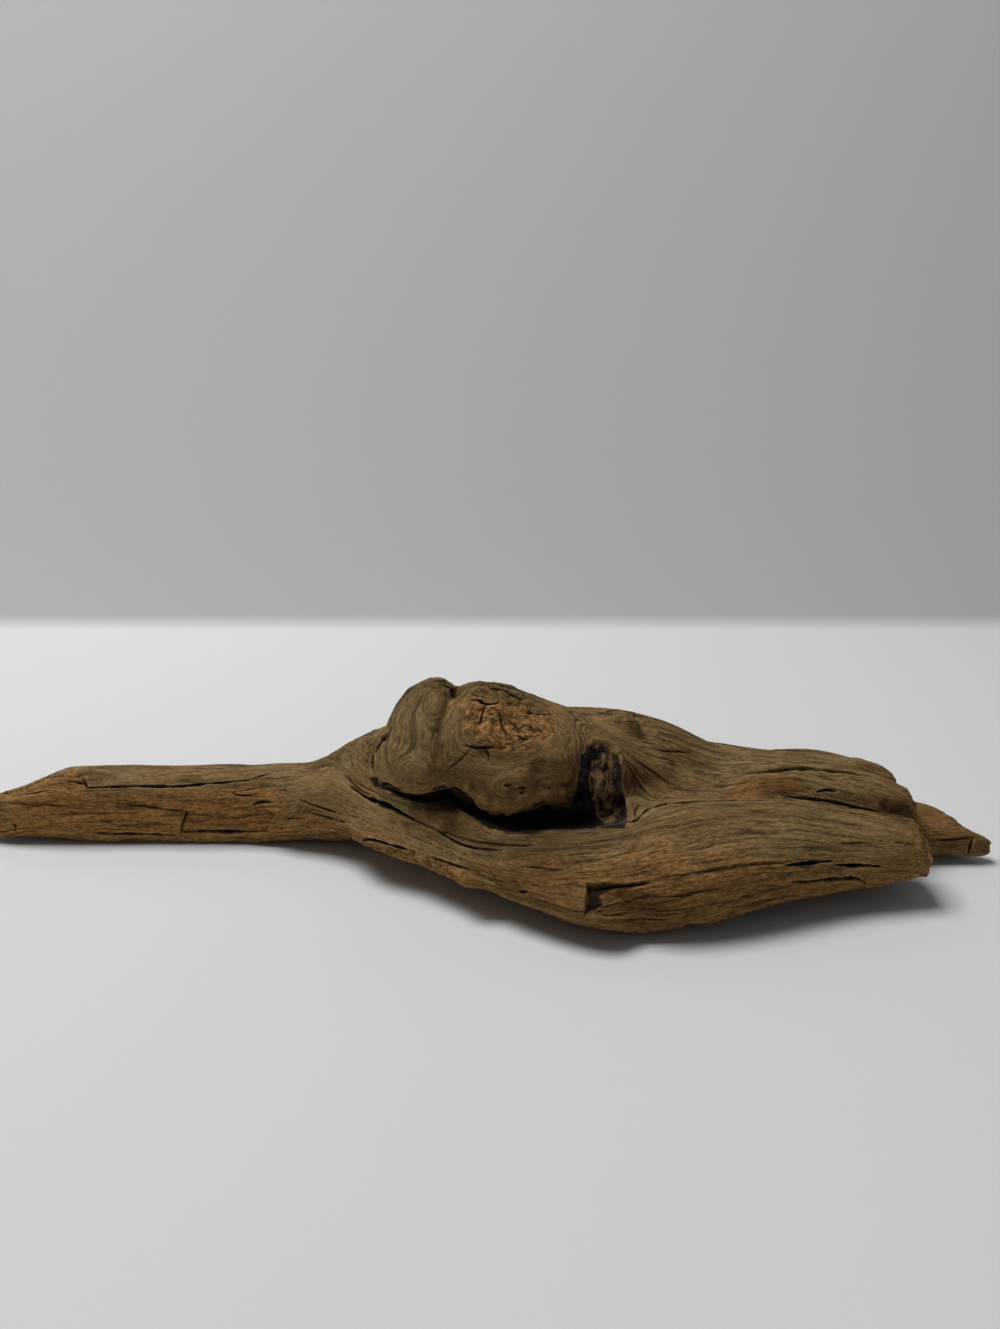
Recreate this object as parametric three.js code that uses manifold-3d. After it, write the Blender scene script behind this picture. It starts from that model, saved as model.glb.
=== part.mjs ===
// A piece of driftwood: a weathered crotch of a small tree, with a burl standing on it, a squared-off arm to
// the left, and a rounded front arm and a split back arm to the right. It grew as one piece, so it is one solid.
// Millimetres, +Z up. +X runs along the wood to the forked end, and -Y is the side with the burl's face.

import * as THREE from "three";
import { mergeVertices } from "three/addons/utils/BufferGeometryUtils.js";
import { LoftGeometry } from "three/addons/geometries/LoftGeometry.js";
import { ImprovedNoise } from "three/addons/math/ImprovedNoise.js";
import Module from "manifold-3d";

const wasm = await Module();
wasm.setup();
const noise = new ImprovedNoise();

// Driving dimensions

const STEP_LENGTH = 6; // distance between two sections of a limb
const LIMB_SIDES = 26;
const LUMP_SIDES = 24;
const FLUTE_WANDER = 90; // length over which the flutes drift round a limb
const SWELL_LENGTH = 26; // length of the slow swellings of a limb
const SWELL_HEIGHT = 1.2;
const SPLINTER_WIDTH = 9; // width of the splinters at a broken end
const LUMP_BUMP = 18; // length of the bumps on a lump
const FLUTE_TURN = 3; // radians that the flutes drift at most
const BUMP_ORIGIN = [7.3, 3.1, 5.7]; // where in the unevenness the wood lies
const FLOOR_BLOCK = [600, 300, 40]; // planes off what lies below the surface the wood rests on
const WOOD_COLOUR = 0x6b5236;

// Limbs. Each station is [x, front y, back y, lowest z, highest z] of a section square to X. A lean turns the
// sections about X, top forwards. Swellings on the front face are [x, z, radius, height].

const LIMBS = [
  // Left arm, split square along its grain
  {
    stations: [
      [-240, 27, 41, 4, 20],
      [-228, 24, 43, 2, 23],
      [-210, 23, 48, 1, 29],
      [-202, 23, 50, 0, 32],
      [-150, 23, 52, -1, 32],
      [-115, 22, 54, 0, 32],
      [-80, 17, 55, 2, 33],
      [-45, 8, 50, 4, 36],
    ],
    squareness: 4.5,
    lean: 0,
    flutes: 5,
    fluteDepth: 0.03,
    ragged: 4,
  },
  // Left ridge, rising from the arm to the back of the burl
  {
    stations: [
      [-112, 34, 54, 6, 28],
      [-86, 30, 56, 5, 34],
      [-69, 22, 58, 5, 44],
      [-50, 10, 60, 5, 53],
      [-20, 0, 60, 5, 62],
    ],
    squareness: 2.4,
    lean: 0,
    flutes: 6,
    fluteDepth: 0.04,
    ragged: 2,
  },
  // Front arm, which passes under the burl as a ledge
  {
    stations: [
      [-132, 31, 44, 12, 24],
      [-104, 18, 44, 8, 30],
      [-72, 4, 42, 10, 37],
      [-45, -11, 36, 9, 40],
      [-20, -29, 30, 8, 41],
      [8, -52, 24, 6, 37],
      [25, -61, 20, 4, 35],
      [50, -67, 14, 0, 37],
      [80, -62, 6, 3, 39],
      [110, -51, 2, 7, 38],
      [140, -42, 0, 8, 34],
      [164, -38, -4, 9, 32],
      [173, -36, -7, 11, 30],
    ],
    squareness: 2.3,
    lean: 8,
    flutes: 7,
    fluteDepth: 0.03,
    ragged: 4,
  },
  // Back arm
  {
    stations: [
      [10, 8, 66, 4, 61],
      [50, 8, 64, 2, 60],
      [78, 12, 62, 0, 54],
      [96, 14, 60, -1, 45],
      [112, 14, 58, -1, 42],
      [130, 15, 57, -1, 41],
      [150, 16, 56, 0, 40],
      [166, 18, 54, 2, 37],
      [178, 22, 50, 6, 32],
    ],
    squareness: 2.3,
    lean: 0,
    flutes: 7,
    fluteDepth: 0.04,
    ragged: 4,
  },
  // Middle arm, split off the back arm
  {
    stations: [
      [40, -14, 34, 8, 52],
      [70, -13, 32, 8, 46],
      [100, -10, 29, 7, 40],
      [112, -8, 28, 7, 42],
      [127, -5, 28, 7, 43],
      [145, -4, 28, 8, 41],
      [160, -3, 27, 10, 39],
      [172, -2, 25, 13, 36],
      [181, 0, 20, 18, 31],
    ],
    squareness: 2.8,
    lean: 6,
    flutes: 6,
    fluteDepth: 0.04,
    ragged: 3,
  },
  // Right tip, a flat splinter under the middle arm
  {
    stations: [
      [120, 4, 52, 2, 18],
      [170, 3, 50, 2, 17],
      [194, 3, 45, 2, 17],
      [203, 3, 37, 2, 16],
      [208, 3, 19, 2, 14],
      [211, 3, 13, 2, 13],
      [217, 4, 12, 3, 12],
    ],
    squareness: 4.5,
    lean: 0,
    flutes: 4,
    fluteDepth: 0.02,
    ragged: 2,
  },
  // Burl
  {
    stations: [
      [-54, 4, 24, 34, 50],
      [-49, -8, 33, 30, 61],
      [-45, -12, 37, 28, 70],
      [-40, -14, 39, 28, 77],
      [-34, -17, 40, 28, 81],
      [-28, -19, 42, 28, 83],
      [-21, -20, 42, 28, 81],
      [-16, -20, 43, 28, 76],
      [-10, -21, 44, 28, 81],
      [0, -22, 45, 28, 81],
      [12, -22, 45, 28, 77],
      [22, -21, 44, 28, 72],
      [32, -19, 42, 28, 68],
      [44, -16, 38, 28, 62],
      [58, -10, 34, 30, 55],
      [74, -2, 28, 32, 47],
    ],
    squareness: 2.2,
    lean: -16,
    flutes: 5,
    fluteDepth: 0.02,
    ragged: 1,
    swellings: [
      [-36, 52, 15, 5],
      [4, 41, 19, 7],
      [26, 56, 8, 3],
      [4, 72, 13, -4],
    ],
  },
];

// Lumps: an uneven ball of a centre and half sizes.

const STUMP = { centre: [5, 28, 30], half: [80, 36, 34], uneven: 2.5 };
const SIDE_KNOT = { centre: [53, 21, 58], half: [10, 7, 7], uneven: 0.4 };
const BARK_POCKET = { centre: [41, -18, 48], half: [11, 11, 17], uneven: 1.5 };
const BARK_PLUG = { centre: [42, -6, 47], half: [9, 8, 15], uneven: 1.5 };

// Hollows that are cut out: the dark gap under the burl, drying cracks, and where slivers have broken away.

const BURL_GAP = {
  stations: [
    [-46, -14, 4, 39, 42],
    [-31, -24, 2, 38, 43],
    [-22, -28, 0, 37, 48],
    [-9, -32, -4, 34, 41],
    [3, -34, -8, 31, 37],
    [15, -34, -8, 30, 37],
    [28, -33, -6, 30, 39],
    [40, -30, -4, 31, 42],
    [51, -26, -6, 33, 39],
  ],
  squareness: 2.2,
  lean: 0,
  flutes: 4,
  fluteDepth: 0.05,
  ragged: 1,
};

// Slots and breaks: a block of [length, depth, height] about a centre, turned about X, Y and Z in degrees.

const BREAKS = [
  // Upper crack of the front arm
  { size: [19, 12, 1.6], centre: [120, -44, 25.5], turn: [20, -4, 17] },
  // Second crack of the front arm
  { size: [18, 12, 1.6], centre: [140, -39, 22.5], turn: [20, 2, 15] },
  // Lower crack of the front arm
  { size: [27, 12, 1.6], centre: [126, -46, 18], turn: [10, -3, 17] },
  // Sliver lost beside the belly
  { size: [48, 8, 11], centre: [61, -67, 15], turn: [-18, 7, -5] },
  // Crack along the left arm
  { size: [78, 12, 1.6], centre: [-150, 24, 26.5], turn: [0, -1, 0] },
  // Sliver lost from the left arm
  { size: [32, 4, 15], centre: [-131, 22, 10.5], turn: [0, 0, 0] },
  // Low crack of the left arm
  { size: [60, 12, 1.6], centre: [-140, 24, 3.5], turn: [0, 1, 0] },
];

// Solids

// A three.js geometry as a solid that can be joined and cut.
function solidOf(geometry) {
  const bare = new THREE.BufferGeometry();
  bare.setAttribute("position", geometry.getAttribute("position"));
  bare.setIndex(geometry.index);
  const merged = mergeVertices(bare);
  return new wasm.Manifold(
    new wasm.Mesh({
      numProp: 3,
      vertProperties: merged.getAttribute("position").array,
      triVerts: new Uint32Array(merged.index.array),
    }),
  );
}

// The solid back as a three.js geometry.
function geometryOf(solid) {
  const { vertProperties, triVerts } = solid.getMesh();
  const geometry = new THREE.BufferGeometry();
  geometry.setAttribute("position", new THREE.BufferAttribute(vertProperties, 3));
  geometry.setIndex(new THREE.BufferAttribute(triVerts, 1));
  return geometry;
}

// Moves each vertex of a geometry to the place that a function gives for it.
function reshape(geometry, place) {
  const position = geometry.getAttribute("position");
  const vertex = new THREE.Vector3();
  for (let i = 0; i < position.count; i++) {
    vertex.fromBufferAttribute(position, i);
    place(vertex);
    position.setXYZ(i, vertex.x, vertex.y, vertex.z);
  }
  return geometry;
}

// Smooth unevenness at a point, between -1 and 1, whose bumps are as long as the size given.
function bumps(point, size) {
  const [x, y, z] = BUMP_ORIGIN;
  return noise.noise(point.x / size + x, point.y / size + y, point.z / size + z);
}

// A rounded square: 2 is a circle, and larger values are squarer.
function roundedSquare(angle, squareness) {
  const side = (value) => Math.sign(value) * Math.abs(value) ** (2 / squareness);
  return [side(Math.cos(angle)), side(Math.sin(angle))];
}

// How far the swellings of a limb lift its front face at a point.
function swellingAt(point, swellings) {
  return swellings.reduce((sum, [x, z, radius, height]) => {
    const away = Math.hypot(point.x - x, point.z - z) / radius;
    return sum + height * Math.exp(-away * away);
  }, 0);
}

// A limb skinned over sections through its stations, fluted along its length, with ragged broken ends.
function limb({ stations, squareness, lean, flutes, fluteDepth, ragged, swellings = [] }) {
  const middle = new THREE.CatmullRomCurve3(
    stations.map(([x, front, back, low, high]) => new THREE.Vector3(x, (front + back) / 2, (low + high) / 2)),
  );
  const half = new THREE.CatmullRomCurve3(
    stations.map(([, front, back, low, high]) => new THREE.Vector3(0, (back - front) / 2, (high - low) / 2)),
  );
  const steps = Math.round(middle.getLength() / STEP_LENGTH);
  const tilt = new THREE.Matrix4().makeRotationX(THREE.MathUtils.degToRad(lean));
  const sections = [];
  for (let step = 0; step <= steps; step++) {
    const along = middle.getUtoTmapping(step / steps);
    const centre = middle.getPoint(along);
    const size = half.getPoint(along);
    const drift = FLUTE_TURN * bumps(centre, FLUTE_WANDER);
    const broken = step === 0 || step === steps ? ragged : 0;
    const section = [];
    for (let side = 0; side < LIMB_SIDES; side++) {
      const angle = (side / LIMB_SIDES) * 2 * Math.PI;
      const [across, up] = roundedSquare(angle, squareness);
      const flute = 1 + fluteDepth * Math.sin(flutes * angle + drift);
      const point = new THREE.Vector3(0, across * size.y * flute, up * size.z * flute);
      point.applyMatrix4(tilt).add(centre);
      const out = new THREE.Vector3(0, across, up);
      point.addScaledVector(out, SWELL_HEIGHT * bumps(point, SWELL_LENGTH));
      if (across < 0) point.addScaledVector(out, swellingAt(point, swellings));
      point.x += broken * bumps(point, SPLINTER_WIDTH);
      section.push(point);
    }
    sections.push(section);
  }
  return solidOf(new LoftGeometry(sections, { capStart: true, capEnd: true }));
}

// A lump: an uneven ball.
function lump({ centre, half, uneven }) {
  const ball = new THREE.SphereGeometry(1, LUMP_SIDES, LUMP_SIDES / 2);
  const middle = new THREE.Vector3(...centre);
  const size = new THREE.Vector3(...half);
  const shaped = reshape(ball, (vertex) => {
    const out = vertex.clone();
    vertex.multiply(size).add(middle);
    vertex.addScaledVector(out, uneven * bumps(vertex, LUMP_BUMP));
  });
  return solidOf(shaped);
}

// A block about a centre, turned about X, Y and Z.
function block({ size, centre, turn }) {
  const box = new THREE.BoxGeometry(...size);
  const angles = turn.map((angle) => THREE.MathUtils.degToRad(angle));
  box.applyMatrix4(new THREE.Matrix4().makeRotationFromEuler(new THREE.Euler(...angles)));
  box.translate(...centre);
  return solidOf(box);
}

const FLOOR = { size: FLOOR_BLOCK, centre: [0, 0, -FLOOR_BLOCK[2] / 2], turn: [0, 0, 0] };

let wood = lump(STUMP).add(lump(SIDE_KNOT));
for (const shape of LIMBS) wood = wood.add(limb(shape));
wood = wood.subtract(limb(BURL_GAP)).subtract(lump(BARK_POCKET)).add(lump(BARK_PLUG));
for (const shape of BREAKS) wood = wood.subtract(block(shape));
wood = wood.subtract(block(FLOOR));

const geometry = geometryOf(wood);
geometry.computeBoundingBox();
const middle = geometry.boundingBox.getCenter(new THREE.Vector3());
geometry.translate(-middle.x, -middle.y, -geometry.boundingBox.min.z);

const driftwood = new THREE.Mesh(
  geometry,
  new THREE.MeshStandardMaterial({ color: WOOD_COLOUR, roughness: 0.85, metalness: 0 }),
);
driftwood.name = "driftwood";

const part = new THREE.Group();
part.add(driftwood);

export default part;
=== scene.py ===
"""A weathered piece of driftwood on a pale sweep, dressed round its CAD solid."""

import logging
import math
from dataclasses import dataclass, field
from enum import Enum
from typing import Union

import bmesh
import bpy
import numpy as np
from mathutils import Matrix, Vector
from mathutils.bvhtree import BVHTree
from mathutils.kdtree import KDTree


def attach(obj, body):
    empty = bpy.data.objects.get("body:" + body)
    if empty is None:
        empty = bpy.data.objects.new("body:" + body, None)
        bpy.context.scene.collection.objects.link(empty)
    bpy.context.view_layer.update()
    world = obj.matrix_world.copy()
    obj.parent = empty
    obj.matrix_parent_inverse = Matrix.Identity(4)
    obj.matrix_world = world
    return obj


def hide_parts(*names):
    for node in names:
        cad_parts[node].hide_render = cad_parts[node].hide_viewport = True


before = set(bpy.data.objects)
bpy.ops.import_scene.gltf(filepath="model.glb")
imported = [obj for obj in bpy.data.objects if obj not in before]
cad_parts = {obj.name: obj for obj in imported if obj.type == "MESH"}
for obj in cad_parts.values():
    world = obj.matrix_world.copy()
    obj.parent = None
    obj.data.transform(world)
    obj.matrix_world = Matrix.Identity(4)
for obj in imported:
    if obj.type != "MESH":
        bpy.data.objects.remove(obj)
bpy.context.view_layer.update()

LOG = logging.getLogger("driftwood")
MM = 0.001
TINY = 1e-12
Pixel = tuple[float, float]
Path = tuple[Pixel, ...]
Colour = tuple[float, float, float]
Band = tuple[float, float]
Key = Union[str, int]
Value = Union["Socket", float, tuple[float, ...]]


class Tint(Enum):
    """What a mask on the wood stands for; the value names its mesh attribute."""

    RING = "ring"
    # Painted shade in cracks, checks and recesses
    RECESS_SHADE = "crack"
    WARM = "warm"
    RESIN = "resin"
    BARK = "bark"
    # Char and dull wood, and painted shade
    CHAR_AND_SHADE = "char_and_shade"
    ROUGH = "rough"
    WEAR = "wear"


class Socket:
    """A node socket that takes part in ordinary Python arithmetic."""

    def __init__(self, bench: "Bench", link: bpy.types.NodeSocket) -> None:
        """Wrap one output socket.

        Args:
            bench: The node tree the socket belongs to.
            link: The output socket itself.
        """
        self.bench = bench
        self.link = link

    def _joined(self, operation: str, first: Value, second: Value) -> "Socket":
        """Join two values by one math node, vector or scalar as they call for.

        Args:
            operation: The math node's operation.
            first: A socket, number or vector.
            second: A socket, number or vector.

        Returns:
            The result's socket.
        """
        vector = any(isinstance(v, Socket) and v.link.type == "VECTOR" for v in (first, second))
        kind = "ShaderNodeVectorMath" if vector else "ShaderNodeMath"
        values = [(v,) * 3 if vector and isinstance(v, (int, float)) else v for v in (first, second)]
        return self.bench.node(kind, {"operation": operation}, {0: values[0], 1: values[1]})

    def __add__(self, other: Value) -> "Socket":
        """Add a socket or number."""
        return self._joined("ADD", self, other)

    def __radd__(self, other: Value) -> "Socket":
        """Add to a number."""
        return self._joined("ADD", other, self)

    def __sub__(self, other: Value) -> "Socket":
        """Subtract a socket or number."""
        return self._joined("SUBTRACT", self, other)

    def __rsub__(self, other: Value) -> "Socket":
        """Subtract from a number."""
        return self._joined("SUBTRACT", other, self)

    def __mul__(self, other: Value) -> "Socket":
        """Multiply by a socket or number."""
        return self._joined("MULTIPLY", self, other)

    def __rmul__(self, other: Value) -> "Socket":
        """Multiply a number."""
        return self._joined("MULTIPLY", other, self)

    def fraction(self) -> "Socket":
        """Return the part after the decimal point."""
        return self._joined("FRACT", self, 0.0)

    def step(self, low: float, high: float, top: float = 1.0) -> "Socket":
        """Rise smoothly from 0 at low to a top value at high.

        Args:
            low: Where the rise starts.
            high: Where it ends.
            top: What it rises to.

        Returns:
            The eased value.
        """
        settings = {"interpolation_type": "SMOOTHSTEP", "clamp": True}
        inputs = {"Value": self, "From Min": low, "From Max": high, "To Max": top}
        return self.bench.node("ShaderNodeMapRange", settings, inputs)


@dataclass(frozen=True)
class Speckle:
    """A noise: its waves for each unit, its octaves and the weight of the finer ones."""

    rate: float
    octaves: int = 3
    rough: float = 0.55


class Bench:
    """A material's or world's node tree, built by calls instead of links."""

    MIX_SHARE, MIX_FIRST, MIX_SECOND, MIX_COLOUR = 0, 6, 7, 2

    def __init__(self, tree: bpy.types.NodeTree) -> None:
        """Start an empty tree.

        Args:
            tree: The node tree; its nodes are cleared.
        """
        self.tree = tree
        tree.nodes.clear()

    def node(
        self,
        kind: str,
        settings: dict[str, object],
        inputs: dict[Key, Value],
        output: Key = 0,
    ) -> Socket:
        """Add one node.

        Args:
            kind: The node's type name.
            settings: Its properties, set before its sockets.
            inputs: Socket values or links by name or place.
            output: Name or place of the output to return.

        Returns:
            The chosen output.
        """
        made = self.tree.nodes.new(kind)
        for name, value in settings.items():
            setattr(made, name, value)
        for name, value in inputs.items():
            if isinstance(value, Socket):
                self.tree.links.new(value.link, made.inputs[name])
            else:
                made.inputs[name].default_value = value
        return Socket(self, made.outputs[output]) if len(made.outputs) else Socket(self, None)

    def attribute(self, tint: Tint) -> Socket:
        """Read one of the mesh's masks."""
        return self.node("ShaderNodeAttribute", {"attribute_name": tint.value}, {}, "Fac")

    def position(self) -> Socket:
        """Read the surface point in the object's own frame."""
        return self.node("ShaderNodeTexCoord", {}, {}, "Object")

    def axis(self, where: Socket, name: str) -> Socket:
        """Read one axis of a vector."""
        return self.node("ShaderNodeSeparateXYZ", {}, {0: where}, name)

    def vector(self, x: Value, y: Value, z: Value) -> Socket:
        """Gather three values into a vector."""
        return self.node("ShaderNodeCombineXYZ", {}, {0: x, 1: y, 2: z})

    def noise(self, where: Socket, speckle: Speckle) -> Socket:
        """Sample a noise texture.

        Args:
            where: The coordinates.
            speckle: The noise.

        Returns:
            Its values, about 0 to 1.
        """
        inputs = {"Scale": speckle.rate, "Detail": speckle.octaves, "Roughness": speckle.rough}
        settings = {"noise_dimensions": "3D"}
        return self.node("ShaderNodeTexNoise", settings, {"Vector": where, **inputs}, "Fac")

    def mix(self, share: Value, first: Value, second: Value) -> Socket:
        """Mix two colours.

        Args:
            share: Weight of the second.
            first: A colour or socket.
            second: A colour or socket.

        Returns:
            The mixed colour.
        """
        values = [(*v, 1.0) if isinstance(v, tuple) else v for v in (first, second)]
        inputs = {self.MIX_SHARE: share, self.MIX_FIRST: values[0], self.MIX_SECOND: values[1]}
        return self.node("ShaderNodeMix", {"data_type": "RGBA"}, inputs, self.MIX_COLOUR)


@dataclass(frozen=True)
class PhotoCamera:
    """The camera that took the picture, and its way between pixels and rays."""

    place: tuple[float, float, float] = (0.01231, -0.39990, 0.200)
    pitch: float = math.radians(15.0)
    focal: float = 1000.0
    width: int = 1000
    height: int = 1329
    sensor: float = 36.0
    nearest: float = 0.01

    def build(self) -> None:
        """Add the camera to the scene."""
        data = bpy.data.cameras.new("photo_camera")
        data.sensor_width = self.sensor
        data.lens = self.sensor * self.focal / self.height
        data.clip_start = self.nearest
        made = bpy.data.objects.new("photo_camera", data)
        made.location = self.place
        made.rotation_euler = (math.pi / 2 - self.pitch, 0.0, 0.0)
        bpy.context.scene.collection.objects.link(made)
        bpy.context.scene.camera = made

    def ray(self, pixel: Pixel) -> tuple[Vector, Vector]:
        """Give the ray through one pixel.

        Args:
            pixel: Column and row in the picture.

        Returns:
            The ray's start and its direction.
        """
        across = (pixel[0] - self.width / 2) / self.focal
        up = (self.height / 2 - pixel[1]) / self.focal
        sin, cos = math.sin(self.pitch), math.cos(self.pitch)
        return Vector(self.place), Vector((across, cos + up * sin, up * cos - sin)).normalized()

    def pixels(self, points: np.ndarray) -> np.ndarray:
        """Project points into the picture.

        Args:
            points: Points, one a row.

        Returns:
            Column and row of each.
        """
        away = points - np.array(self.place)
        sin, cos = math.sin(self.pitch), math.cos(self.pitch)
        ahead = away[:, 1] * cos - away[:, 2] * sin
        up = away[:, 1] * sin + away[:, 2] * cos
        column = self.width / 2 + self.focal * away[:, 0] / ahead
        row = self.height / 2 - self.focal * up / ahead
        return np.stack([column, row], axis=1)


class LatticeNoise:
    """Smooth seeded noise over space, for arrays of points."""

    SIZE = 4096
    PRIMES = (73856093, 19349663, 83492791)
    OCTAVE_SHIFT = 17.3

    def __init__(self, seed: int) -> None:
        """Fill the table of lattice values.

        Args:
            seed: The table's seed.
        """
        self.table = np.random.default_rng(seed).uniform(-1.0, 1.0, self.SIZE)

    def at(self, points: np.ndarray, octaves: int = 1) -> np.ndarray:
        """Sample the noise.

        Args:
            points: Points in lattice units, one a row.
            octaves: How many times finer noise is added at half strength.

        Returns:
            A value of about -1 to 1 for each point.
        """
        total = np.zeros(len(points))
        for octave in range(octaves):
            scaled = points * 2.0**octave + self.OCTAVE_SHIFT * octave
            cell = np.floor(scaled).astype(np.int64)
            part = scaled - cell
            ease = part * part * (3.0 - 2.0 * part)
            for corner in range(8):
                offset = np.array([corner & 1, corner >> 1 & 1, corner >> 2 & 1])
                weight = np.prod(np.where(offset, ease, 1.0 - ease), axis=1)
                hashed = np.bitwise_xor.reduce((cell + offset) * np.array(self.PRIMES), axis=1)
                total += weight * self.table[hashed & (self.SIZE - 1)] * 0.5**octave
        return total

    def over(self, points: np.ndarray, speckle: Speckle, shift: float = 0.0) -> np.ndarray:
        """Sample the noise at one rate in all directions.

        Args:
            points: Points in metres, one a row.
            speckle: The noise's rate and octaves.
            shift: How far its lattice is shifted.

        Returns:
            A value of about -1 to 1 for each point.
        """
        return self.at(points * speckle.rate + shift, speckle.octaves)


def eased(value: np.ndarray, low: float, high: float) -> np.ndarray:
    """Rise smoothly from 0 at low to 1 at high.

    Args:
        value: Values to ease.
        low: Where the rise starts.
        high: Where it ends.

    Returns:
        The eased shares.
    """
    share = np.clip((value - low) / (high - low), 0.0, 1.0)
    return share * share * (3.0 - 2.0 * share)


def ellipse(centre: Pixel, across: float, up: float, count: int = 14) -> Path:
    """Give a closed loop of pixels.

    Args:
        centre: The loop's middle.
        across: Half its width.
        up: Half its height.
        count: Points on it.

    Returns:
        The loop, its first pixel repeated at the end.
    """
    turns = [2 * math.pi * i / count for i in range(count + 1)]
    return tuple((centre[0] + across * math.cos(t), centre[1] + up * math.sin(t)) for t in turns)


@dataclass(frozen=True)
class Guide:
    """A grain line drawn on the picture, with the growth ring it belongs to."""

    ring: float
    path: Path


@dataclass(frozen=True)
class Crack:
    """An open crack drawn on the picture. Sizes in millimetres."""

    path: Path
    width: float
    depth: float
    # How strongly shade is painted into the crack
    dark: float = 1.0


@dataclass(frozen=True)
class Pull:
    """A line on the picture whose surroundings are moved. Sizes in millimetres."""

    path: Path
    reach: float
    move: tuple[float, float, float]


@dataclass(frozen=True)
class Patch:
    """An area outlined on the picture that differs from the plain wood.

    Attributes:
        tint: The mask that it raises.
        outline: Its corners.
        soft: Pixels over which its edge eases.
        strength: The mask's value inside.
        depth: Millimetres by which it is sunk.
        rough: How strongly it is pitted.
        fade: Pixels from its first corner over which it fades; 0 where it doesn't.
    """

    tint: Tint
    outline: Path
    soft: float
    strength: float = 1.0
    depth: float = 0.0
    rough: float = 0.0
    fade: float = 0.0


GUIDES: tuple[Guide, ...] = (
    # Left arm, from its lower edge up
    Guide(4, ((2, 832), (90, 831), (180, 833), (250, 830), (300, 826))),
    Guide(14, ((2, 815), (90, 813), (180, 814), (250, 809), (300, 807))),
    Guide(24, ((4, 800), (60, 795), (120, 793), (200, 792), (262, 788), (310, 786))),
    Guide(34, ((86, 779), (150, 778), (200, 776), (250, 773), (300, 767), (340, 757))),
    # Front arm, from its lower edge up to the pocket
    Guide(-6, ((360, 846), (410, 863), (465, 878), (530, 906), (598, 921), (660, 927), (713, 920),
        (790, 901), (860, 889))),
    Guide(2, ((320, 826), (370, 841), (430, 862), (500, 888), (560, 908), (610, 913), (660, 908),
        (720, 896), (790, 884), (860, 876), (922, 874))),
    Guide(10, ((310, 806), (355, 820), (410, 842), (470, 868), (530, 884), (590, 886), (629, 885),
        (672, 877), (713, 871), (739, 866), (790, 861), (860, 859), (925, 862))),
    Guide(20, ((330, 796), (370, 810), (420, 834), (470, 856), (530, 866), (590, 862), (650, 850),
        (720, 838), (800, 836), (860, 842), (922, 850))),
    Guide(30, ((353, 788), (392, 807), (438, 829), (480, 842), (520, 845), (570, 843), (620, 838),
        (660, 826), (720, 817), (790, 818), (850, 828), (918, 838))),
    Guide(38, ((440, 805), (478, 826), (520, 833), (590, 832), (628, 828), (650, 816), (690, 808),
        (740, 805), (790, 806), (850, 818), (915, 829))),
    # Middle and back arms, and the fan between them and the burl
    Guide(50, ((730, 796), (775, 796), (810, 802), (860, 811), (905, 817))),
    Guide(58, ((740, 788), (770, 782), (810, 786), (850, 797), (905, 810))),
    Guide(66, ((770, 768), (800, 769), (840, 775), (880, 783), (903, 795))),
    Guide(74, ((565, 710), (590, 724), (640, 731), (690, 745), (738, 756), (800, 760), (860, 767),
        (888, 777))),
    Guide(84, ((580, 711), (650, 719), (700, 738), (760, 751), (830, 754), (880, 768))),
    Guide(66, ((580, 716), (603, 732), (628, 745), (655, 757), (690, 765), (730, 772))),
    Guide(58, ((590, 730), (608, 741), (630, 759), (652, 776), (690, 788), (726, 792))),
    Guide(50, ((618, 748), (630, 768), (640, 787), (654, 799), (680, 799))),
    # Burl, from the pocket's rim up
    Guide(48, ((372, 768), (391, 781), (424, 793), (445, 782), (477, 804), (507, 813), (543, 798),
        (563, 796))),
    Guide(58, ((380, 758), (394, 775), (425, 786), (447, 774), (478, 794), (508, 805), (540, 792),
        (553, 786))),
    Guide(70, ellipse((413, 769), 17, 10)),
    Guide(76, ellipse((413, 769), 8, 5)),
    Guide(60, ((391, 742), (391, 722), (397, 704), (408, 690), (424, 681), (437, 680))),
    Guide(66, ((403, 748), (405, 722), (413, 705), (424, 692), (434, 686))),
    Guide(75, ellipse((435, 700), 6, 11)),
    Guide(70, ((434, 764), (430, 748), (440, 730), (447, 712), (451, 698))),
    Guide(80, ((447, 764), (452, 742), (456, 722), (463, 705), (476, 692))),
    Guide(86, ((452, 728), (468, 748), (500, 760), (538, 753), (565, 734))),
    Guide(92, ((470, 722), (507, 718), (548, 724))),
    Guide(72, ellipse((514, 786), 26, 12)),
    Guide(80, ellipse((515, 786), 13, 6)),
    Guide(78, ellipse((559, 759), 15, 14)),
    Guide(86, ellipse((559, 759), 8, 7)),
    Guide(74, ellipse((560, 791), 5, 10)),
    Guide(74, ((466, 688), (490, 683), (515, 689), (540, 701), (563, 711))),
)

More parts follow.
